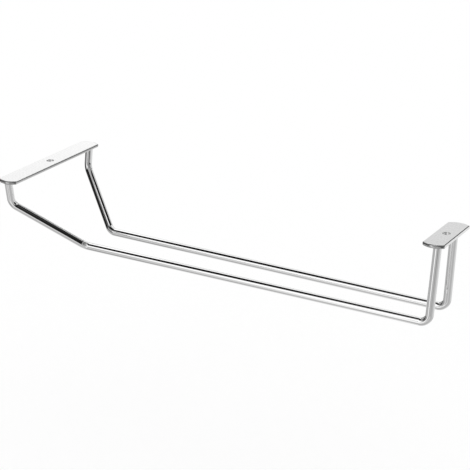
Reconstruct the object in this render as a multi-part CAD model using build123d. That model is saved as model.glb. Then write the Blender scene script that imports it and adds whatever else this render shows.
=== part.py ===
from build123d import *
import os

# Hanging wine glass rack: two bent wire rails welded under two screw plates.
# Glasses hang upside down, their feet on the rails and their stems between them.
#
# Frame, in mm: the origin lies on the mounting plane, midway between the two screw holes.
# +X runs from the flared entrance at the front to the closed rear, +Y across the rack, +Z up.
# The plates' top faces lie on the mounting plane, and everything else hangs below it.

# The whole rack
screw_spacing = 387.0  # which makes the rack 406 mm long over its plates

# The strap that both plates are cut from
strap_width = 19.0
strap_thickness = 3.0
strap_crown = 3.5  # how far the curved end of a plate stands out past its corners
strap_corner_radius = 1.2  # seen from above
strap_edge_radius = 0.8  # the polished edge, round the top face and the bottom face
screw_hole_diameter = 6.4

# The wire that both rails are bent from
wire_diameter = 7.0
front_inside_radius = 7.0  # of the two bends at the flared entrance
heel_inside_radius = 4.5  # of the tighter bend at the rear

# Places on the rails' centre lines. A spread is from one rail to the other,
# and a drop is below the plates' undersides.
front_leg_spread = 125.5  # where the front legs meet the front plate
knee_spread = 119.0  # the knee is the bend under the front plate
knee_drop = 20.3
throat_spread = 42.0  # the throat is the bend where the flare ends and the run begins
throat_drop = 63.2
throat_setback = 50.4  # behind the front plate's centre line
heel_spread = 37.2  # the heel is the bend where the run ends and the rear leg begins
heel_drop = 69.1
heel_lead = 4.2  # ahead of the rear plate's centre line, so that the rear leg leans back
rear_leg_spread = 33.8  # where the rear legs meet the rear plate, so that they close in upwards

# How far each plate reaches past the outer sides of the legs that it carries
front_plate_overhang = 1.25
rear_plate_overhang = 9.3

# Weld metal in the corner between a leg and its plate
weld_leg = 0.8

# How far the drill runs past the faces that it cuts
drill_overrun = 2.0

# Worked out from the sizes above
wire_radius = wire_diameter / 2
front_bend_radius = front_inside_radius + wire_radius
heel_bend_radius = heel_inside_radius + wire_radius
underside = -strap_thickness
rear_x = screw_spacing / 2
front_x = -rear_x
front_plate_length = front_leg_spread + wire_diameter + 2 * front_plate_overhang
rear_plate_length = rear_leg_spread + wire_diameter + 2 * rear_plate_overhang

NEAR = -1
FAR = 1


def rail_corners(side):
    """Corners of a rail's centre line, from the front plate's underside to the rear plate's."""
    return [
        Vector(front_x, side * front_leg_spread / 2, underside),
        Vector(front_x, side * knee_spread / 2, underside - knee_drop),
        Vector(front_x + throat_setback, side * throat_spread / 2, underside - throat_drop),
        Vector(rear_x - heel_lead, side * heel_spread / 2, underside - heel_drop),
        Vector(rear_x, side * rear_leg_spread / 2, underside),
    ]


def beyond(end, neighbour):
    """The end of a leg, carried on far enough that a level cut goes right across a leaning leg."""
    return end + (end - neighbour).normalized() * wire_diameter


def wire_along(path, radius=wire_radius):
    """Round wire along a centre line."""
    start = Plane(origin=path @ 0, z_dir=path % 0)
    return sweep(start * Circle(radius), path=path)


def trimmed(wire, drop=0):
    """What is left of a wire below a level cut, at some drop below the plates' undersides."""
    return split(wire, bisect_by=Plane.XY.offset(underside - drop), keep=Keep.BOTTOM)


def rail(side):
    """One rail: front leg, knee, flare, throat, run, heel and rear leg, bent from one wire."""
    corners = rail_corners(side)
    corners[0] = beyond(corners[0], corners[1])
    corners[-1] = beyond(corners[-1], corners[-2])
    radii = [front_bend_radius, front_bend_radius, heel_bend_radius]
    return trimmed(wire_along(FilletPolyline(*corners, radius=radii)))


def plate_outline(length):
    """The strap's outline from above: straight sides, curved ends and rounded corners."""
    half_width = strap_width / 2
    shoulder = length / 2 - strap_crown
    right_side = Line((half_width, -shoulder), (half_width, shoulder))
    far_end = ThreePointArc((half_width, shoulder), (0, length / 2), (-half_width, shoulder))
    left_side = Line((-half_width, shoulder), (-half_width, -shoulder))
    near_end = ThreePointArc((-half_width, -shoulder), (0, -length / 2), (half_width, -shoulder))
    outline = make_face(right_side + far_end + left_side + near_end)
    return fillet(outline.vertices(), strap_corner_radius)


def plate(length, centre_x):
    """One screw plate, its top face on the mounting plane and its screw hole in the middle."""
    blank = extrude(plate_outline(length), amount=strap_thickness, dir=(0, 0, -1))
    rims = blank.edges().group_by(Axis.Z)[-1] + blank.edges().group_by(Axis.Z)[0]
    blank = fillet(rims, strap_edge_radius)
    drill_length = strap_thickness + 2 * drill_overrun
    drill = Pos(0, 0, underside / 2) * Cylinder(screw_hole_diameter / 2, drill_length)
    return Pos(centre_x, 0, 0) * (blank - drill)


def level_section(wire):
    """The level face at the top of a trimmed wire."""
    return wire.faces().sort_by(Axis.Z)[-1]


def weld_bead(foot, neighbour):
    """Weld metal all round a leg: a taper from the plate to the leg's surface, with the leg cut out."""
    leg = Line(beyond(foot, neighbour), neighbour)
    on_plate = level_section(trimmed(wire_along(leg, wire_radius + weld_leg)))
    inside_leg = level_section(trimmed(wire_along(leg, wire_radius - weld_leg), 2 * weld_leg))
    return loft([on_plate, inside_leg], ruled=True) - wire_along(leg)


def weld_beads(foot, neighbour):
    """The two beads under one plate, as separate solids, by a leg's places in a rail's corners."""
    rails = [rail_corners(side) for side in (NEAR, FAR)]
    return Compound(children=[weld_bead(corners[foot], corners[neighbour]) for corners in rails])


nodes = {
    "near_rail": rail(NEAR),
    "far_rail": rail(FAR),
    "front_plate": plate(front_plate_length, front_x),
    "rear_plate": plate(rear_plate_length, rear_x),
    "front_weld_beads": weld_beads(0, 1),
    "rear_weld_beads": weld_beads(-1, -2),
}

os.makedirs("parts", exist_ok=True)
for name, shape in nodes.items():
    export_step(shape, f"parts/{name}.step")
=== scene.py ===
import math

import bmesh
import bpy
from mathutils import Matrix, Vector


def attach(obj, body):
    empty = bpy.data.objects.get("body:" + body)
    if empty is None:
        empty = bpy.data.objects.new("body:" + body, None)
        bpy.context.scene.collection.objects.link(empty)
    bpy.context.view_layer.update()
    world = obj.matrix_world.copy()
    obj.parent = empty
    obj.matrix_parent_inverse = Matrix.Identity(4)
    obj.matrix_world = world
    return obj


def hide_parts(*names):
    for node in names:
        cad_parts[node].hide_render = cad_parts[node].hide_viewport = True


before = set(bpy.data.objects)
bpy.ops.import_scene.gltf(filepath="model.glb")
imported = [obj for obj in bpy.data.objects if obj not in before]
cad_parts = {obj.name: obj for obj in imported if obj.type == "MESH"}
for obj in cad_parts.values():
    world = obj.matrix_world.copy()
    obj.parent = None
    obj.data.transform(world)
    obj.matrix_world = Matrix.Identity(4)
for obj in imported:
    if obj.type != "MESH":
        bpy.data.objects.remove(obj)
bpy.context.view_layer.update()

# Hanging wine glass rack: two bent wire rails welded under two screw plates, all of it chromed.
# Each CAD node is replaced by a finer mesh of the same sizes.
#
# Frame, in metres: the origin lies on the mounting plane, midway between the two screw holes.
# +X runs from the flared entrance at the front to the closed rear, +Y across the rack, +Z up.

MM = 0.001
BODY = "root"

# The two rails, by their side along Y
NEAR = -1
FAR = 1

# The whole rack
screw_spacing = 387.0 * MM

# The strap that both plates are cut from
strap_width = 19.0 * MM
strap_thickness = 3.0 * MM
strap_crown = 3.5 * MM  # how far the curved end of a plate stands out past its corners
strap_corner_radius = 1.2 * MM  # seen from above
strap_edge_radius = 0.8 * MM  # the polished edge
end_roll_reach = 1.1 * MM  # the shears roll the top edge over at the ends
end_roll_drop = 1.6 * MM

# The screw hole in the middle of each plate
screw_hole_radius = 3.2 * MM
hole_roll_reach = 0.4 * MM  # the punch rolls the top edge in
hole_roll_drop = 0.6 * MM
hole_edge_radius = 0.15 * MM  # the bottom edge

# The wire that both rails are bent from, and the bends of its centre line
wire_radius = 3.5 * MM
front_bend_radius = 10.5 * MM  # of the two bends at the flared entrance
heel_bend_radius = 8.0 * MM  # of the tighter bend at the rear
bend_swell = 0.15 * MM  # how far the wire stands out on the inside of a bend
bend_flat = 0.15 * MM  # how far it is flattened on the outside

# Places on the rails' centre lines. A spread is from one rail to the other,
# and a drop is below the plates' undersides.
front_leg_spread = 125.5 * MM
knee_spread = 119.0 * MM  # the knee is the bend under the front plate
knee_drop = 20.3 * MM
throat_spread = 42.0 * MM  # the throat is the bend where the flare ends and the run begins
throat_drop = 63.2 * MM
throat_setback = 50.4 * MM  # behind the front plate's centre line
heel_spread = 37.2 * MM  # the heel is the bend where the run ends and the rear leg begins
heel_drop = 69.1 * MM
heel_lead = 4.2 * MM  # ahead of the rear plate's centre line
rear_leg_spread = 33.8 * MM

# How far each plate reaches past the outer sides of the legs that it carries
front_plate_overhang = 1.25 * MM
rear_plate_overhang = 9.3 * MM

# Weld metal in the corner between a leg and its plate
weld_leg = 0.8 * MM

# Worked out from the sizes above
underside = -strap_thickness
rear_x = screw_spacing / 2
front_x = -rear_x
front_plate_length = front_leg_spread + 2 * (wire_radius + front_plate_overhang)
rear_plate_length = rear_leg_spread + 2 * (wire_radius + rear_plate_overhang)

# How finely round stretches are divided
RING_POINTS = 96
HOLE_POINTS = 64
CORNER_STEPS = 12
CROWN_STEPS = 16
EDGE_STEPS = 8
WELD_STEPS = 8
BEND_STEP = math.radians(1.5)

# Where a plate's outline turns from its sides to its ends, by how far it faces along Y
END_TURN_START = 0.3
END_TURN_LENGTH = 0.4

# Edges that turn by more than this stay sharp
SHARP_ANGLE = math.radians(40)


def circle(count):
    """The cosine and sine of turns spread evenly round a circle."""
    turns = [2 * math.pi * i / count for i in range(count)]
    return [(math.cos(turn), math.sin(turn)) for turn in turns]


def quarter_circle(steps):
    """The cosine and sine of turns from 0 to a right angle."""
    turns = [math.pi / 2 * i / steps for i in range(steps + 1)]
    return [(math.cos(turn), math.sin(turn)) for turn in turns]


def add_ring(points, ring):
    """Adds a ring of points to a mesh's points, and gives their numbers."""
    first = len(points)
    points += ring
    return list(range(first, len(points)))


def band(first, second):
    """Quads between two rings of point numbers."""
    return list(zip(first, first[1:] + first[:1], second[1:] + second[:1], second))


def skin(rings):
    """Quads between rings that follow each other."""
    faces = []
    for first, second in zip(rings, rings[1:]):
        faces += band(first, second)
    return faces


def make_mesh(name, points, faces):
    """A mesh object in the scene from points and faces, smooth but for its sharp edges."""
    mesh = bpy.data.meshes.new(name)
    mesh.from_pydata([tuple(point) for point in points], [], faces)
    mesh.validate()
    mesh.shade_smooth()
    mesh.set_sharp_from_angle(angle=SHARP_ANGLE)
    obj = bpy.data.objects.new(name, mesh)
    bpy.context.scene.collection.objects.link(obj)
    return obj


# Rails

def rail_corners(side):
    """Corners of a rail's centre line, from the front plate's underside to the rear plate's."""
    return [
        Vector((front_x, side * front_leg_spread / 2, underside)),
        Vector((front_x, side * knee_spread / 2, underside - knee_drop)),
        Vector((front_x + throat_setback, side * throat_spread / 2, underside - throat_drop)),
        Vector((rear_x - heel_lead, side * heel_spread / 2, underside - heel_drop)),
        Vector((rear_x, side * rear_leg_spread / 2, underside)),
    ]


def straight_station(point, direction):
    """A place on a straight stretch of a centre line."""
    return point, direction, Vector((0, 0, 0))


def bend_at(corner, before, after, radius):
    """A centre line round one bend, with one step of straight on each side, as a list of stations.

    A station is a point, a direction, and a vector to the inside of the bend. The vector is as long
    as the wire is deformed there: 0 where the bend begins and ends, and 1 in its middle.
    """
    way_in = (corner - before).normalized()
    way_out = (after - corner).normalized()
    turn = way_in.angle(way_out)
    start = corner - way_in * (radius * math.tan(turn / 2))
    axis = way_in.cross(way_out).normalized()
    centre = start + axis.cross(way_in) * radius
    spoke = start - centre
    step_length = radius * BEND_STEP
    steps = math.ceil(turn / BEND_STEP)
    stations = [straight_station(start - way_in * step_length, way_in)]
    for i in range(steps + 1):
        part_turn = Matrix.Rotation(turn * i / steps, 3, axis)
        inward = -(part_turn @ spoke).normalized() * math.sin(math.pi * i / steps)
        stations.append((centre + part_turn @ spoke, part_turn @ way_in, inward))
    stations.append(straight_station(stations[-1][0] + way_out * step_length, way_out))
    return stations


def rail_line(side):
    """The centre line of one rail as a list of stations."""
    corners = rail_corners(side)
    radii = [front_bend_radius, front_bend_radius, heel_bend_radius]
    line = [straight_station(corners[0], (corners[1] - corners[0]).normalized())]
    for i, radius in enumerate(radii, start=1):
        line += bend_at(corners[i], corners[i - 1], corners[i + 1], radius)
    line.append(straight_station(corners[-1], (corners[-1] - corners[-2]).normalized()))
    return line


def bend_change(out, inward):
    """How far the wire's surface stands out in a bend: it swells inside and is flattened outside."""
    facing = out.dot(inward)
    return bend_swell * max(facing, 0) ** 2 - bend_flat * min(facing, 0) ** 2


def onto_underside(point, direction):
    """A point slid along a direction until it lies in the plane of the plates' undersides."""
    return point + direction * ((underside - point.z) / direction.z)


def rail_mesh(name, side):
    """One rail as a smooth tube, its two ends cut level with the plates' undersides."""
    line = rail_line(side)
    across = Vector((1.0, 0.0, 0.0))
    points = []
    rings = []
    for number, (centre, direction, inward) in enumerate(line):
        across = (across - direction * across.dot(direction)).normalized()
        up = direction.cross(across)
        outs = [across * cosine + up * sine for cosine, sine in circle(RING_POINTS)]
        ring = [centre + out * (wire_radius + bend_change(out, inward)) for out in outs]
        if number in (0, len(line) - 1):
            ring = [onto_underside(point, direction) for point in ring]
        rings.append(add_ring(points, ring))
    ends = [rings[0][::-1], rings[-1]]
    return make_mesh(name, points, skin(rings) + ends)


# Plates

def arc(centre, radius, start, end, steps):
    """Points and outward directions along an arc seen from above, from one angle to another."""
    places = []
    for i in range(steps + 1):
        angle = start + (end - start) * i / steps
        out = Vector((math.cos(angle), math.sin(angle), 0))
        places.append((centre + out * radius, out))
    return places


def flipped(places, flip_x, flip_y):
    """The points and directions of an outline, flipped about its centre lines where a flip is -1."""
    flip = Vector((flip_x, flip_y, 0))
    return [(point * flip, out * flip) for point, out in places]


def plate_outline(length):
    """A plate from above, about its own centre: points and outward directions, anticlockwise.

    A quarter of it is a rounded corner and half of the curved end, and flips of that are the rest.
    """
    half_width = strap_width / 2
    crown_radius = (half_width ** 2 + strap_crown ** 2) / (2 * strap_crown)
    crown_y = length / 2 - crown_radius
    corner_x = half_width - strap_corner_radius
    corner_y = crown_y + math.sqrt((crown_radius - strap_corner_radius) ** 2 - corner_x ** 2)
    joint = math.atan2(corner_y - crown_y, corner_x)
    quarter = arc(Vector((corner_x, corner_y, 0)), strap_corner_radius, 0, joint, CORNER_STEPS)
    quarter += arc(Vector((0, crown_y, 0)), crown_radius, joint, math.pi / 2, CROWN_STEPS)[1:]
    mirrored = flipped(quarter, -1, 1)
    half = quarter + mirrored[-2::-1]  # back from the middle of the curved end, which they share
    return half + flipped(half, -1, -1)


def hole_outline():
    """The screw hole from above, anticlockwise: points, and directions out of the metal."""
    outs = [Vector((cosine, sine, 0)) for cosine, sine in circle(HOLE_POINTS)]
    return [(out * screw_hole_radius, -out) for out in outs]


def edge_profile(top_reach, top_drop, bottom_radius):
    """An edge from the top face down to the bottom face, as steps of how far in and how far down."""
    top = [(top_reach * (1 - sine), top_drop * (1 - cosine))
           for cosine, sine in quarter_circle(EDGE_STEPS)]
    bottom = [(bottom_radius * (1 - cosine), strap_thickness - bottom_radius * (1 - sine))
              for cosine, sine in quarter_circle(EDGE_STEPS)]
    return top + bottom


def rim_profile(out):
    """A plate's edge where it faces a direction: polished along the sides, rolled over at the ends."""
    share = min(max((abs(out.y) - END_TURN_START) / END_TURN_LENGTH, 0), 1)
    reach = strap_edge_radius + (end_roll_reach - strap_edge_radius) * share
    drop = strap_edge_radius + (end_roll_drop - strap_edge_radius) * share
    return edge_profile(reach, drop, strap_edge_radius)


def hole_profile(out):
    """The screw hole's edge, which is the same in every direction."""
    return edge_profile(hole_roll_reach, hole_roll_drop, hole_edge_radius)


def edge_rings(points, centre, outline, profile_at):
    """Adds an edge's rings to a plate's points, from the top face down, and gives their numbers."""
    profiles = [profile_at(out) for point, out in outline]
    rings = []
    for steps in zip(*profiles):
        ring = [centre + point - out * inset - Vector((0, 0, depth))
                for (point, out), (inset, depth) in zip(outline, steps)]
        rings.append(add_ring(points, ring))
    return rings


def fill_between(obj, rim, hole, up):
    """Closes a plate's flat face between its rim and its hole, facing up or down."""
    mesh = bmesh.new()
    mesh.from_mesh(obj.data)
    mesh.verts.ensure_lookup_table()
    edges = []
    for ring in (rim, hole):
        for first, second in zip(ring, ring[1:] + ring[:1]):
            edges.append(mesh.edges.get((mesh.verts[first], mesh.verts[second])))
    made = bmesh.ops.triangle_fill(mesh, use_beauty=True, use_dissolve=False, edges=edges)
    for face in made["geom"]:
        if isinstance(face, bmesh.types.BMFace):
            face.smooth = True
            face.normal_update()
            if (face.normal.z > 0) != up:
                face.normal_flip()
    mesh.to_mesh(obj.data)
    mesh.free()


def plate_mesh(name, length, centre_x):
    """One screw plate with its edges and its screw hole."""
    centre = Vector((centre_x, 0, 0))
    points = []
    rim = edge_rings(points, centre, plate_outline(length), rim_profile)
    hole = edge_rings(points, centre, hole_outline(), hole_profile)
    obj = make_mesh(name, points, skin(rim[::-1]) + skin(hole))
    fill_between(obj, rim[0], hole[0], up=True)
    fill_between(obj, rim[-1], hole[-1], up=False)
    weighted = obj.modifiers.new("weighted_normals", "WEIGHTED_NORMAL")
    weighted.keep_sharp = True
    return obj


# Weld beads

def weld_profile():
    """A bead's cross-section: its hollow face, from the plate to the leg, and the corner that it fills.

    Each point is its reach from the leg's surface and its drop below the plate.
    """
    hollow = [(weld_leg * (1 - sine), weld_leg * (1 - cosine))
              for cosine, sine in quarter_circle(WELD_STEPS)]
    return hollow + [(0.0, 0.0)]


def weld_mesh(name, foot, neighbour):
    """The two beads under one plate, by a leg's places in a rail's corners.

    Each is a closed ring round the top of its leg. A level cut through a leaning leg is an ellipse.
    """
    points = []
    faces = []
    for side in (NEAR, FAR):
        corners = rail_corners(side)
        down = (corners[neighbour] - corners[foot]).normalized()
        stretch = 1 / abs(down.z)
        major = Vector((down.x, down.y, 0)).normalized()
        minor = Vector((-major.y, major.x, 0))
        rings = []
        for reach, drop in weld_profile():
            centre = corners[foot] + down * (drop * stretch)
            long_arm = major * (wire_radius * stretch + reach)
            short_arm = minor * (wire_radius + reach)
            ring = [centre + long_arm * cosine + short_arm * sine for cosine, sine in circle(RING_POINTS)]
            rings.append(add_ring(points, ring))
        faces += skin(rings[:1] + rings[::-1])
    return make_mesh(name, points, faces)


# Shader nodes

# The middle of a noise, which holds most of its values
NOISE_SPAN = (0.3, 0.7)


def join(tree, socket, value):
    """Gives a shader node's input a value, or a link where the value is another node's output."""
    if isinstance(value, bpy.types.NodeSocket):
        tree.links.new(value, socket)
    else:
        socket.default_value = value


def math_node(tree, operation, *values):
    """A math node's output."""
    node = tree.nodes.new("ShaderNodeMath")
    node.operation = operation
    for socket, value in zip(node.inputs, values):
        join(tree, socket, value)
    return node.outputs["Value"]


def dot_node(tree, first, second):
    """The dot product of two vectors."""
    node = tree.nodes.new("ShaderNodeVectorMath")
    node.operation = "DOT_PRODUCT"
    join(tree, node.inputs[0], first)
    join(tree, node.inputs[1], second)
    return node.outputs["Value"]


def split_node(tree, vector):
    """A vector's three parts, under the names X, Y and Z."""
    node = tree.nodes.new("ShaderNodeSeparateXYZ")
    tree.links.new(vector, node.inputs["Vector"])
    return node.outputs


def range_node(tree, value, source, target, interpolation="LINEAR"):
    """A value carried from one range to another."""
    node = tree.nodes.new("ShaderNodeMapRange")
    node.interpolation_type = interpolation
    join(tree, node.inputs["Value"], value)
    sockets = ("From Min", "From Max", "To Min", "To Max")
    for socket, limit in zip(sockets, (*source, *target)):
        node.inputs[socket].default_value = limit
    return node.outputs["Result"]


def fade_in(tree, value, span):
    """0 before a span, smoothly up to 1 across it, and 1 after it."""
    return range_node(tree, value, span, (0, 1), "SMOOTHSTEP")


def fade_out(tree, value, span):
    """1 before a span, smoothly down to 0 across it, and 0 after it."""
    return range_node(tree, value, span, (1, 0), "SMOOTHSTEP")


def shade_node(tree, mask, depth):
    """A factor to darken with: 1 where a mask is 0, and less by a depth where it is 1."""
    return math_node(tree, "MULTIPLY_ADD", mask, -depth, 1.0)


def noise_node(tree, size, stretch=(1, 1, 1), detail=2.0):
    """Noise in the object's own space, its grain about a size in metres, and longer where stretched."""
    place = tree.nodes.new("ShaderNodeTexCoord")
    mapping = tree.nodes.new("ShaderNodeMapping")
    mapping.inputs["Scale"].default_value = [1 / (size * longer) for longer in stretch]
    tree.links.new(place.outputs["Object"], mapping.inputs["Vector"])
    noise = tree.nodes.new("ShaderNodeTexNoise")
    noise.inputs["Scale"].default_value = 1.0
    noise.inputs["Detail"].default_value = detail
    tree.links.new(mapping.outputs["Vector"], noise.inputs["Vector"])
    return noise.outputs["Fac"]


def varied(tree, noise, target):
    """A noise carried to a range."""
    return range_node(tree, noise, NOISE_SPAN, target)


def bump_node(tree, height, depth):
    """A normal from a height of 0 to 1 that stands for a depth in metres."""
    bump = tree.nodes.new("ShaderNodeBump")
    bump.inputs["Strength"].default_value = 1.0
    bump.inputs["Distance"].default_value = depth
    tree.links.new(height, bump.inputs["Height"])
    return bump.outputs["Normal"]


# Finishes

# The spans over which a plate's surface turns. The first two go by the upright part of its normal, which
# is 0 on the sides and 1 on the top, and the third goes by the part along Y, which is 1 at the ends.
SIDE_TO_EDGE = (0.1, 0.4)
EDGE_TO_TOP = (0.8, 0.98)
SIDE_TO_END = (0.2, 0.5)
HOLE_CLEARANCE = 2 * screw_hole_radius  # nearer to a hole's axis, the surface belongs to the hole

# A plate's wear, and the painted dark reflection on its rounded edges
# How far the rounded edges are darkened: painted shade that stands in for a mirrored dark reflection
PAINTED_EDGE_SHADE = 0.28
END_SHADE = 0.5
END_BLUR = 0.06
MOTTLE_SIZE = 1.5 * MM
MOTTLE_RANGE = (0.4, 1.0)
GRAIN_SIZE = 1.6 * MM
GRAIN_RANGE = (0.85, 1.0)


def plate_masks(tree):
    """Two masks on a plate, both 0 in its hole: 1 on its rounded edges, where a dark reflection is
    painted, and 1 on its sheared ends.
    """
    place = tree.nodes.new("ShaderNodeTexCoord")
    facing = split_node(tree, place.outputs["Normal"])
    where = split_node(tree, place.outputs["Object"])
    along = math_node(tree, "SUBTRACT", math_node(tree, "ABSOLUTE", where["X"]), rear_x)
    across_squared = math_node(tree, "MULTIPLY", where["Y"], where["Y"])
    from_hole = math_node(tree, "SQRT", math_node(tree, "MULTIPLY_ADD", along, along, across_squared))
    clear = math_node(tree, "GREATER_THAN", from_hole, HOLE_CLEARANCE)
    upright = math_node(tree, "ABSOLUTE", facing["Z"])
    endwise = math_node(tree, "ABSOLUTE", facing["Y"])
    off_top = fade_out(tree, upright, EDGE_TO_TOP)
    off_side = fade_in(tree, upright, SIDE_TO_EDGE)
    # The rounded edges' mask carries the painted dark reflection
    painted_edge_mask = math_node(tree, "MULTIPLY", clear, math_node(tree, "MULTIPLY", off_top, off_side))
    end = math_node(tree, "MULTIPLY", clear, fade_in(tree, endwise, SIDE_TO_END))
    return painted_edge_mask, end


def plate_wear_and_painted_shade(tree, brightness, roughness):
    """A plate's faint grain, a painted dark reflection along its rounded edges, and its mottled and
    duller sheared ends.
    """
    painted_edge_mask, end = plate_masks(tree)
    grain = varied(tree, noise_node(tree, GRAIN_SIZE, detail=1.0), GRAIN_RANGE)
    mottle = varied(tree, noise_node(tree, MOTTLE_SIZE), MOTTLE_RANGE)
    worn = math_node(tree, "MULTIPLY", mottle, end)
    # The rounded edges are darkened by painted shade, a painted dark reflection; the grain and the ends'
    # mottle are the metal's own
    for shade in (grain, shade_node(tree, painted_edge_mask, PAINTED_EDGE_SHADE), shade_node(tree, worn, END_SHADE)):
        brightness = math_node(tree, "MULTIPLY", brightness, shade)
    roughness = math_node(tree, "MULTIPLY_ADD", worn, END_BLUR, roughness)
    return brightness, roughness


def chrome(name, tint, gloss, smear, wave_size, wave_depth, stretch=(1, 1, 1), wear_and_painted_shade=None):
    """Polished chrome plate, whose brightness and gloss vary a little, with slow waves in its surface.

    Tint and gloss are ranges, and smear is the size of their patches, half as large for the gloss.
    """
    material = bpy.data.materials.new(name)
    material.use_nodes = True
    tree = material.node_tree
    shader = tree.nodes["Principled BSDF"]
    shader.inputs["Metallic"].default_value = 1.0
    brightness = varied(tree, noise_node(tree, smear, stretch), tint)
    roughness = varied(tree, noise_node(tree, smear / 2, stretch, detail=4.0), gloss)
    # The wear can also darken the surface with painted shade, as the plates' does on their rounded edges
    if wear_and_painted_shade:
        brightness, roughness = wear_and_painted_shade(tree, brightness, roughness)
    grey = tree.nodes.new("ShaderNodeCombineColor")
    for channel in ("Red", "Green", "Blue"):
        tree.links.new(brightness, grey.inputs[channel])
    waves = bump_node(tree, noise_node(tree, wave_size, stretch), wave_depth)
    tree.links.new(grey.outputs["Color"], shader.inputs["Base Color"])
    tree.links.new(roughness, shader.inputs["Roughness"])
    tree.links.new(waves, shader.inputs["Normal"])
    return material


finishes = {
    "rail_chrome": chrome("rail_chrome", tint=(0.89, 0.91), gloss=(0.015, 0.035), smear=4 * MM,
                          wave_size=6 * MM, wave_depth=0.002 * MM, stretch=(6, 1, 1)),
    # The plates' wear also darkens their rounded edges with a painted dark reflection
    "plate_chrome": chrome("plate_chrome", tint=(0.95, 0.975), gloss=(0.02, 0.05), smear=6 * MM,
                           wave_size=8 * MM, wave_depth=0.003 * MM, stretch=(1, 3, 1), wear_and_painted_shade=plate_wear_and_painted_shade),
    "weld_chrome": chrome("weld_chrome", tint=(0.84, 0.9), gloss=(0.06, 0.14), smear=1 * MM,
                          wave_size=0.8 * MM, wave_depth=0.02 * MM),
}


def put_in_place(obj, node, slot):
    """Puts a new piece in a CAD node's place, with its slot's finish."""
    obj.data.materials.append(finishes[slot])
    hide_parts(node)
    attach(obj, BODY)


put_in_place(rail_mesh("near_rail_wire", NEAR), "near_rail", "rail_chrome")
put_in_place(rail_mesh("far_rail_wire", FAR), "far_rail", "rail_chrome")
put_in_place(plate_mesh("front_plate_strap", front_plate_length, front_x), "front_plate", "plate_chrome")
put_in_place(plate_mesh("rear_plate_strap", rear_plate_length, rear_x), "rear_plate", "plate_chrome")
put_in_place(weld_mesh("front_welds", 0, 1), "front_weld_beads", "weld_chrome")
put_in_place(weld_mesh("rear_welds", -1, -2), "rear_weld_beads", "weld_chrome")


# Camera: held level, on the near side of the rack, towards its closed rear, and a little above it. It
# looks at a point below the mounting plane, moved a little to the left and up in the picture.
camera_azimuth = math.radians(29.51)
camera_elevation = math.radians(20.40)
camera_distance = 1392.0 * MM
camera_lens = 123.67  # in millimetres, on a sensor as wide as the next line says
camera_sensor = 36.0
aim_depth = 40.0 * MM
aim_left = 0.4 * MM
aim_up = 3.0 * MM


def add_camera():
    """The camera, at the photograph's viewing angle."""
    level_reach = math.cos(camera_elevation)
    forward = Vector((-math.sin(camera_azimuth) * level_reach, math.cos(camera_azimuth) * level_reach,
                      -math.sin(camera_elevation)))
    right = Vector((math.cos(camera_azimuth), math.sin(camera_azimuth), 0))
    down = forward.cross(right)
    aim = Vector((0, 0, -aim_depth)) - right * aim_left - down * aim_up
    turn = Matrix((right, -down, -forward)).transposed().to_4x4()
    camera = bpy.data.objects.new("camera", bpy.data.cameras.new("camera"))
    camera.data.sensor_width = camera_sensor
    camera.data.lens = camera_lens
    camera.matrix_world = Matrix.Translation(aim - forward * camera_distance) @ turn
    bpy.context.scene.collection.objects.link(camera)
    bpy.context.scene.camera = camera


# Studio: what the polished metal mirrors, by direction. A direction is an azimuth, which is 0 along +X
# and 90 along +Y, and an elevation, in degrees. Each light and each black card follows the circle through
# three directions, and has a width and a softness of its edges in degrees, and a strength. They were
# placed by comparing the stripes that the metal mirrors with the photograph's. Their directions lie on
# steps of 5 degrees, but for wall_behind and plate_light, which give the plates' tops their two greys.
studio_grey = 0.49
soft_lights = {
    "wall_behind": ((17, 5), (87, -2), (138, -68), 74, 35, 0.38),
    "tall_light": ((285, -25), (240, 15), (245, 35), 19, 1, 0.7),
    "high_light": ((155, 50), (135, 45), (30, 60), 14, 1, 0.84),
    "low_light": ((135, 20), (185, -65), (230, -45), 10, 1, 0.18),
    "plate_light": ((132, 9), (127, 27), (126, 23), 8, 1, 0.4),
    "top_light": ((210, 80), (240, 75), (235, 80), 4, 1, 1.88),
    "leg_light": ((240, -5), (275, -40), (295, -35), 6, 1, 0.36),
}
black_cards = {
    "right_card": ((290, -30), (345, 20), (25, 45), 17, 10, 0.95),
    "high_right_card": ((70, 20), (65, 45), (230, 80), 8, 5, 1.0),
    "overhead_card": ((215, 50), (205, 60), (110, 55), 23, 10, 1.0),
    "left_card": ((140, 20), (195, 0), (150, 45), 12, 5, 0.95),
    "card_behind": ((130, 10), (75, 25), (65, 20), 6, 1, 0.95),
    "small_card": ((50, 5), (50, 0), (60, -30), 8, 5, 0.95),
    "low_card": ((220, -40), (220, -50), (230, -45), 10, 15, 0.8),
    "front_card": ((170, 10), (210, 5), (240, -5), 18, 35, 1.0),
    "low_right_card": ((335, 40), (355, 0), (15, 10), 17, 1, 0.95),
    "near_right_card": ((245, 0), (315, 45), (325, 60), 23, 40, 0.85),
}


def heading(azimuth, elevation):
    """The direction at an azimuth and an elevation in degrees."""
    turn = math.radians(azimuth)
    rise = math.radians(elevation)
    return Vector((math.cos(rise) * math.cos(turn), math.cos(rise) * math.sin(turn), math.sin(rise)))


def strip_mask(tree, direction, start, middle, end, width, softness):
    """1 on a strip of sky along the circle through three directions, and 0 away from it."""
    first = heading(*start)
    centre = heading(*middle)
    last = heading(*end)
    pole = (centre - first).cross(last - first).normalized()
    pole_angle = math.acos(pole.dot(centre))
    half_length = (first.angle(centre) + last.angle(centre)) / 2
    half_width = math.radians(width) / 2
    half_soft = math.radians(softness) / 2
    from_pole = math_node(tree, "ARCCOSINE", dot_node(tree, direction, pole))
    from_circle = math_node(tree, "ABSOLUTE", math_node(tree, "SUBTRACT", from_pole, pole_angle))
    from_centre = math_node(tree, "ARCCOSINE", dot_node(tree, direction, centre))
    across = fade_out(tree, from_circle, (half_width - half_soft, half_width + half_soft))
    along = fade_out(tree, from_centre, (half_length - half_soft, half_length + half_soft))
    return math_node(tree, "MULTIPLY", across, along)


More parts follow.
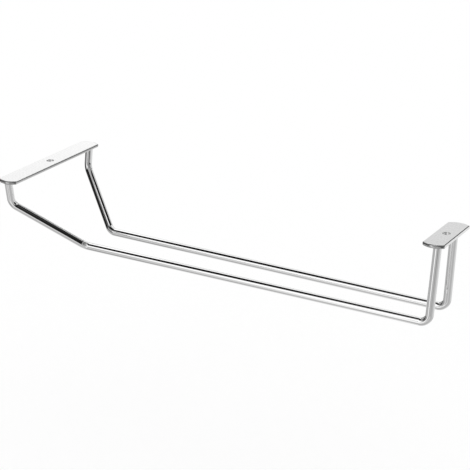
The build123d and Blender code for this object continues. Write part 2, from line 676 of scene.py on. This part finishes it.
def studio_level(tree):
    """The studio's brightness by direction: its grey, with the lights added and the cards cut out."""
    place = tree.nodes.new("ShaderNodeTexCoord")
    unit = tree.nodes.new("ShaderNodeVectorMath")
    unit.operation = "NORMALIZE"
    tree.links.new(place.outputs["Generated"], unit.inputs[0])
    direction = unit.outputs["Vector"]
    level = studio_grey
    for *strip, strength in soft_lights.values():
        level = math_node(tree, "MULTIPLY_ADD", strip_mask(tree, direction, *strip), strength, level)
    for *strip, strength in black_cards.values():
        shade = shade_node(tree, strip_mask(tree, direction, *strip), strength)
        level = math_node(tree, "MULTIPLY", level, shade)
    return level


def studio_world():
    """A world that is white to the camera and to the floor, and shows the studio to the metal."""
    world = bpy.data.worlds.new("studio")
    world.use_nodes = True
    tree = world.node_tree
    path = tree.nodes.new("ShaderNodeLightPath")
    shown = tree.nodes.new("ShaderNodeMix")
    tree.links.new(path.outputs["Is Glossy Ray"], shown.inputs["Factor"])
    shown.inputs["A"].default_value = 1.0
    tree.links.new(studio_level(tree), shown.inputs["B"])
    background = tree.nodes["Background"]
    background.inputs["Color"].default_value = (1, 1, 1, 1)
    tree.links.new(shown.outputs["Result"], background.inputs["Strength"])
    world.cycles.sampling_method = "NONE"
    return world


# Floor: plain, white and without any gloss
floor_drop = 250 * MM
floor_reach = 6000 * MM


def add_floor():
    """The floor, below the rack, which hangs in the air."""
    sides = ((-1, -1), (1, -1), (1, 1), (-1, 1))
    corners = [(x * floor_reach, y * floor_reach, -floor_drop) for x, y in sides]
    floor = make_mesh("floor", corners, [(0, 1, 2, 3)])
    material = bpy.data.materials.new("floor_white")
    material.use_nodes = True
    shader = material.node_tree.nodes["Principled BSDF"]
    shader.inputs["Base Color"].default_value = (1, 1, 1, 1)
    shader.inputs["Specular IOR Level"].default_value = 0.0
    shader.inputs["Roughness"].default_value = 1.0
    floor.data.materials.append(material)
    floor.visible_glossy = False


add_camera()
add_floor()
bpy.context.scene.world = studio_world()
bpy.context.scene.view_settings.view_transform = "Standard"
